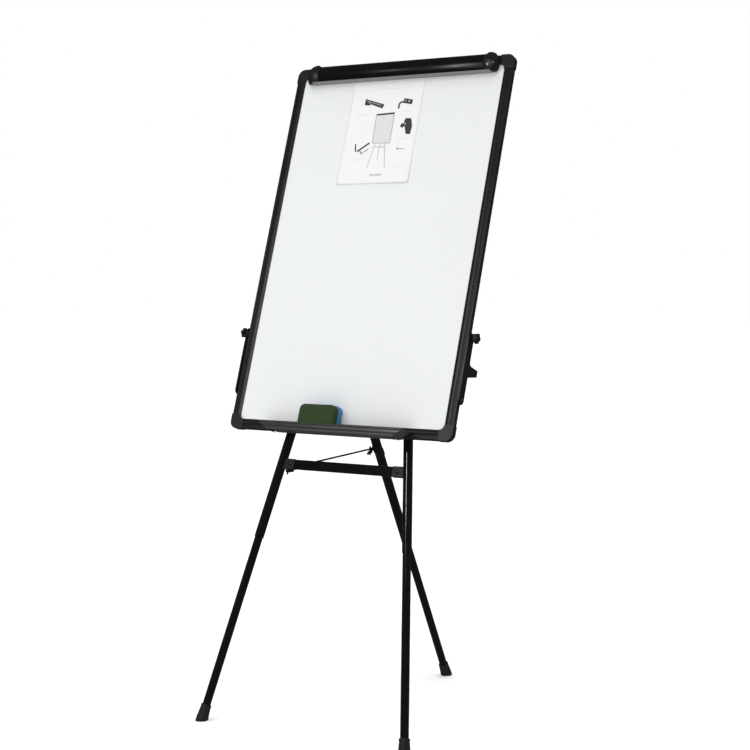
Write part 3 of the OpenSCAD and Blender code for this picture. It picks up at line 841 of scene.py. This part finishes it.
# Heights up the plane of the legs: the saddles, the board's bottom edge, the bolts of the top
# bracket, the crossbar and the hinge bar
SADDLE_UP, BOARD_UP, BOLT_UP, CROSSBAR_UP, HINGE_BAR_UP = 750, 680, 1462, 612, 790


def leg_x(up):
    """How far out a front leg's axis is at a height up the plane of the legs."""
    return FOOT_X - up * math.tan(SPLAY)


bm = bmesh.new()
spots = [(x, up) for x in (-55, 55) for up in (760, 806)]
for side in (-1, 1):
    for end in (-1, 1):
        spots.append((side * (leg_x(SADDLE_UP) + 16 * end), SADDLE_UP - BOARD_UP + 13.5 * end))
for x, up in spots:
    dome_head(bm, in_mm(BOARD @ facing((x, 14, up), (0, 1, 0))), 2, 9, 3.8, 2.2, CROSS)
for name in ("left", "right"):
    for x in (-18, 18):
        place = LEG_AXIS[name] @ facing((x, 0.5, SADDLE_UP / math.cos(SPLAY)), (0, 1, 0))
        dome_head(bm, in_mm(place), 2, 12, 3.6, 2.2, CROSS)
piece("back_screw_heads", bm, "stand", "steel", ["back_screws"], None, 30)

bm = bmesh.new()
for side in (-1, 1):
    hex_bolt(bm, in_mm(LEG_PLANE @ facing((side * leg_x(BOLT_UP), TUBE_R, BOLT_UP), (0, 1, 0))))
piece("leg_bolt_heads", bm, "stand", "steel", ["leg_bolts"], None, 30)

bm = bmesh.new()
for side in (-1, 1):
    x = side * (leg_x(CROSSBAR_UP) - 26)
    for back, radius, height in ((-5, 5, 2.4), (5, 4.6, 1.8)):
        place = in_mm(LEG_PLANE @ facing((x, back, CROSSBAR_UP), (0, back, 0)))
        dome_head(bm, place, 3, 10, radius, height)
piece("crossbar_rivet_heads", bm, "stand", "bracket", ["crossbar_rivets"], None, 30)

bm = bmesh.new()
for side in (-1, 1):
    x, half = side * (leg_x(HINGE_BAR_UP) - 11.8), 13
    lean = side * half * math.tan(SPLAY)
    for back in (-3.4, 3.4):
        line = [(x + lean, back, HINGE_BAR_UP - half), (x - lean, back, HINGE_BAR_UP + half)]
        weld_bead(bm, line, 1.3, side * back)
piece("hinge_bar_welds", bm, "stand", "tube", (), LEG_PLANE, 60)


# ---- eraser ----


def rounded_outline(x0, x1, z0, z1, r):
    """Points round a rectangle with round corners, none further apart than the step or so."""
    steps, spacing = 12, 1.6
    points = []
    corners = ((x1 - r, z1 - r, 0), (x0 + r, z1 - r, 90), (x0 + r, z0 + r, 180), (x1 - r, z0 + r, 270))
    for cx, cz, start in corners:
        for i in range(steps + 1):
            a = math.radians(start + 90 * i / steps)
            points.append((cx + r * math.cos(a), cz + r * math.sin(a)))
    spaced = []
    for (ax, az), (bx, bz) in zip(points, points[1:] + points[:1]):
        parts = max(1, round(math.hypot(bx - ax, bz - az) / spacing))
        spaced += [(ax + (bx - ax) * i / parts, az + (bz - az) * i / parts) for i in range(parts)]
    return spaced


def soft_block(bm, size, layers, fuzz, seed):
    """A block of rounded outline; layers are (back, inset), and fuzz moves its surface."""
    x0, x1, z0, z1, r = size
    base = rounded_outline(x0, x1, z0, z1, r)
    cx, cz = (x0 + x1) / 2, (z0 + z1) / 2
    rings = []

    def add(back, inset, share=1.0):
        """A ring of the outline; a share below 1 puts it on the block's front or back face."""
        ring = []
        for x, z in base:
            dx, dz = x - cx, z - cz
            away = math.hypot(dx, dz)
            scale = max(away - inset, 0) / away * share
            p = Vector((cx + dx * scale, back, cz + dz * scale))
            wobble = noise.noise(p * 0.35 + Vector((seed, 0, 0))) + 0.6 * noise.noise(p * 1.3)
            push = fuzz * (wobble - 0.8)
            out = Vector((dx / away, 0, dz / away)) if share == 1 else Vector((0, 1, 0))
            ring.append(p + out * push)
        rings.append(ring)

    for share in (0.02, 0.2, 0.4, 0.6, 0.75, 0.88, 0.96):
        add(*layers[0], share)
    for layer in layers:
        add(*layer)
    for share in (0.96, 0.6, 0.2, 0.02):
        add(*layers[-1], share)
    loft(bm, rings)


felt_layers = [(-33.4, 2.4), (-32.8, 1.2), (-31.8, 0.5), (-30.4, 0.1), (-29, 0)]
for seam in (-28, -22.6):
    felt_layers += [(seam - 0.6, 0.1), (seam, 0.75), (seam + 0.6, 0.1), (seam + 2.6, 0)]
felt_layers += [(-18, 0.1), (-17.1, 0.6)]
bm = bmesh.new()
soft_block(bm, (-90, 8, 0.15, 60.5, 14), felt_layers, 0.22, 5)
piece("felt_pad", bm, "eraser", "felt", ["eraser_felt"], BOARD, 70)

back_layers = [(-17, 1.2), (-16.5, 0.4), (-15.6, 0)]
for groove in (-11.6, -7.2):
    back_layers += [(groove - 0.8, 0), (groove - 0.5, 0.6), (groove + 0.5, 0.6), (groove + 0.8, 0)]
back_layers += [(-2.6, 0), (-1.5, 0.4), (-1.05, 1.3)]
bm = bmesh.new()
soft_block(bm, (-89, 9, 0.5, 62.5, 13), back_layers, 0.0, 2)
piece("eraser_grip", bm, "eraser", "blue", ["eraser_back"], BOARD, 40)


# ---- printed leaflet ----

LEAF_LEFT, LEAF_RIGHT, LEAF_TOP, LEAF_BOTTOM = -129, 70, 893, 611


def leaf_depth(x, up):
    """How far back the leaflet's sheet is: it bows a little and its lower corners lift."""
    down = (LEAF_TOP - up) / (LEAF_TOP - LEAF_BOTTOM)
    across = (x - LEAF_LEFT) / (LEAF_RIGHT - LEAF_LEFT)
    curl = 0.5 * down**3 + 0.9 * smoothstep(down, 0.72, 1.0) * (abs(across - 0.45) * 1.9) ** 3
    wave = 0.35 * math.sin(across * 7) * down
    return 2.8 - curl + 0.4 * down * wave


def sheet_of_paper(bm):
    columns, rows = 40, 56
    grid = []
    for j in range(rows + 1):
        up = LEAF_TOP + (LEAF_BOTTOM - LEAF_TOP) * j / rows
        row = []
        for i in range(columns + 1):
            x = LEAF_LEFT + (LEAF_RIGHT - LEAF_LEFT) * i / columns
            row.append(bm.verts.new((x, leaf_depth(x, up), up)))
        grid.append(row)
    for j in range(rows):
        for i in range(columns):
            bm.faces.new((grid[j][i], grid[j][i + 1], grid[j + 1][i + 1], grid[j + 1][i]))


bm = bmesh.new()
sheet_of_paper(bm)
leaf = piece("leaflet_sheet", bm, "stand", "paper", ["leaflet"], BOARD, 0)
thick = leaf.modifiers.new("thickness", "SOLIDIFY")
thick.thickness = 0.12 * MM
thick.offset = 0


class Print:
    """Flat shapes printed on the leaflet; places are millimetres right and down its sheet."""

    def __init__(self, name, material, lift):
        self.bm = bmesh.new()
        self.name, self.material, self.lift = name, material, lift

    def vert(self, u, t):
        x, up = LEAF_LEFT + u, LEAF_TOP - t
        return self.bm.verts.new((x, leaf_depth(x, up) - self.lift, up))

    def fill(self, *points):
        self.bm.faces.new([self.vert(u, t) for u, t in points])

    def disc(self, centre, radius):
        u, t = centre
        self.fill(*[(u + radius * math.cos(a), t + radius * math.sin(a)) for a in angles(20)])

    def line(self, width, *points):
        """A line of the given width, in parts short enough to follow the sheet's bow."""
        for (u0, t0), (u1, t1) in zip(points, points[1:]):
            length = math.hypot(u1 - u0, t1 - t0)
            nu, nt = -(t1 - t0) / length * width / 2, (u1 - u0) / length * width / 2
            parts = max(1, math.ceil(length / 8))
            pairs = []
            for i in range(parts + 1):
                u, t = u0 + (u1 - u0) * i / parts, t0 + (t1 - t0) * i / parts
                pairs.append((self.vert(u + nu, t + nt), self.vert(u - nu, t - nt)))
            for (a, b), (c, d) in zip(pairs, pairs[1:]):
                self.bm.faces.new((a, b, d, c))

    def dashes(self, u, t, width, rows, seed, height=0.9, pitch=2.4):
        """Rows of short dashes that stand for a caption."""
        shade = random.Random(seed)
        for row in range(rows):
            end = u + width * (shade.uniform(0.45, 0.8) if row == rows - 1 > 0 else 1)
            here = u
            down = t + row * pitch
            while here < end:
                length = shade.uniform(1.6, 4.2)
                self.line(height, (here, down), (min(here + length, end), down))
                here += length + 0.9

    def done(self):
        piece(self.name, self.bm, "stand", self.material, (), BOARD, 0)


def print_leaflet():
    pale = Print("leaflet_ink_pale", "ink_pale", 0.12)
    dark = Print("leaflet_ink_dark", "ink_dark", 0.15)
    mid = Print("leaflet_ink_mid", "ink_mid", 0.18)

    # title and the label bar under the middle picture
    pale.dashes(51.5, 38.5, 122, 1, 11, 1.5)
    mid.dashes(89.5, 260, 33, 1, 4, 3.4)

    # the easel in the middle
    pale.fill((79, 105), (129, 104), (130, 179), (80, 177))
    mid.line(1.8, (78.6, 105), (80.8, 177.8), (129.7, 179.6), (128.6, 104))
    dark.line(4.4, (79, 104.6), (129, 103))
    mid.line(1.5, (89.2, 179.5), (77.8, 241.2))
    mid.line(1.5, (116.4, 181), (127.5, 244))
    mid.line(1.3, (103.6, 180.3), (103, 222))
    mid.line(1.7, (89.6, 188.1), (119.3, 189.3))

    # the slanting clamp
    dark.fill((39.6, 61.2), (58, 67), (58, 76.5), (52, 79), (39.4, 77.5))
    dark.fill((58, 67), (95.1, 78.3), (91.9, 89.1), (58, 76.5))
    mid.line(1.8, (44.2, 67), (87.2, 80.5))
    mid.line(3, (50.5, 72.2), (54.5, 73.2))

    # the bent arm with its block
    dark.line(4.6, (137.5, 91.7), (137, 80), (141, 75.4), (150, 75))
    dark.fill((148.4, 65.4), (173.6, 70.6), (172, 82.7), (148.1, 77.7))
    mid.line(3.6, (152, 72.4), (155, 73))
    mid.line(5, (161, 73.4), (166, 74.2))

    # the round knob on its bracket
    dark.fill((161.5, 117.6), (177.7, 118.5), (183.6, 138.4), (164.2, 142.2), (159.3, 127.2))
    dark.fill((164.2, 142.2), (183.6, 138.4), (181.8, 159.1), (169.6, 158.4))
    dark.disc((156.5, 135.7), 5.6)
    mid.disc((163.6, 132), 2.2)

    # the folding stand, drawn as two bent strips
    dark.line(3.6, (34, 178), (37.6, 198.6))
    dark.line(4.4, (42, 198), (73.4, 176.8))
    mid.line(3.2, (54, 205), (72.9, 192))
    dark.line(2.6, (50, 197), (54.5, 204.5))

    # a small part at the right
    dark.line(3.4, (153, 192.4), (154.4, 197))
    mid.dashes(157, 195.6, 17, 1, 2, 2.6)

    # captions and the box at the foot
    for seed, (u, t, width, rows) in enumerate(
        (
            (25, 100, 44, 3),
            (142, 99, 52, 2),
            (145, 167, 48, 3),
            (25, 216, 42, 3),
            (137, 237, 56, 2),
            (76, 276, 50, 1),
        )
    ):
        pale.dashes(u, t, width, rows, seed, 0.7)
    pale.line(0.4, (188, 232), (188, 268))
    for ink_layer in (pale, dark, mid):
        ink_layer.done()


print_leaflet()


# ---- camera, light and floor ----

VIEW_AZIMUTH, VIEW_ELEVATION = math.radians(31.68), math.radians(3.57)
CAMERA_PLACE = (2.023, -3.2931, 1.031)
LENS_MM = 78.5


def add_camera():
    data = bpy.data.cameras.new("camera")
    data.lens = LENS_MM
    data.sensor_width = 36
    cam = bpy.data.objects.new("camera", data)
    cam.location = CAMERA_PLACE
    cam.rotation_euler = (math.pi / 2 - VIEW_ELEVATION, 0, VIEW_AZIMUTH)
    bpy.context.collection.objects.link(cam)
    bpy.context.scene.camera = cam


def add_area(name, place, aim, size, power, diffuse=True):
    """A softbox; without diffuse it is only seen mirrored, as a reflection card."""
    data = bpy.data.lights.new(name, "AREA")
    data.shape = "RECTANGLE"
    data.size, data.size_y = size
    data.energy = power
    lamp = bpy.data.objects.new(name, data)
    lamp.location = place
    direction = Vector(aim) - Vector(place)
    lamp.rotation_euler = direction.to_track_quat("-Z", "Y").to_euler()
    lamp.visible_diffuse = diffuse
    bpy.context.collection.objects.link(lamp)


def add_sky_light(strength):
    """Even light from straight above, too soft to be seen mirrored in the tubes."""
    data = bpy.data.lights.new("overhead", "SUN")
    data.energy = strength
    data.angle = math.radians(110)
    lamp = bpy.data.objects.new("overhead", data)
    lamp.location = (0, 0, 4)
    lamp.visible_glossy = False
    bpy.context.collection.objects.link(lamp)


def add_world():
    """White where the camera sees it, a soft fill for the object, and dim where it is mirrored."""
    world = bpy.data.worlds.new("studio")
    world.use_nodes = True
    tree = world.node_tree
    path = tree.nodes.new("ShaderNodeLightPath")

    def background(colour, strength):
        node = tree.nodes.new("ShaderNodeBackground")
        node.inputs["Color"].default_value = (*colour, 1)
        node.inputs["Strength"].default_value = strength
        return node.outputs[0]

    def switch(ray, otherwise, seen):
        node = tree.nodes.new("ShaderNodeMixShader")
        for source, target in zip((path.outputs[ray], otherwise, seen), node.inputs):
            tree.links.new(source, target)
        return node.outputs[0]

    cool = (0.95, 0.97, 1)
    lit = switch("Is Glossy Ray", background(cool, 0.42), background(cool, 0.07))
    seen = switch("Is Camera Ray", lit, background(grey(1), 1.0))
    tree.links.new(seen, tree.nodes["World Output"].inputs["Surface"])
    bpy.context.scene.world = world


def add_floor():
    mesh = bpy.data.meshes.new("floor")
    half = 30
    mesh.from_pydata(
        [(-half, -half, 0), (half, -half, 0), (half, half, 0), (-half, half, 0)],
        [],
        [(0, 1, 2, 3)],
    )
    floor = bpy.data.objects.new("floor", mesh)
    bpy.context.collection.objects.link(floor)
    s = Shader("floor_white")
    s.colour(s.mix(s.noise(4, 3), grey(0.93), grey(0.95)))
    s.roughness(s.noise(8, 2), 0.75, 0.85)
    mesh.materials.append(s.mat)
    floor.visible_glossy = False


add_camera()
add_world()
add_floor()
add_area("key", (-1.25, -1.95, 2.05), (0, -0.1, 0.85), (0.4, 0.25), 5)
add_area("strip", (-0.1, -2.4, 2.15), (0.17, -0.2, 0.6), (0.12, 0.9), 24, False)
add_sky_light(2.9)

bpy.context.scene.view_settings.view_transform = "Standard"
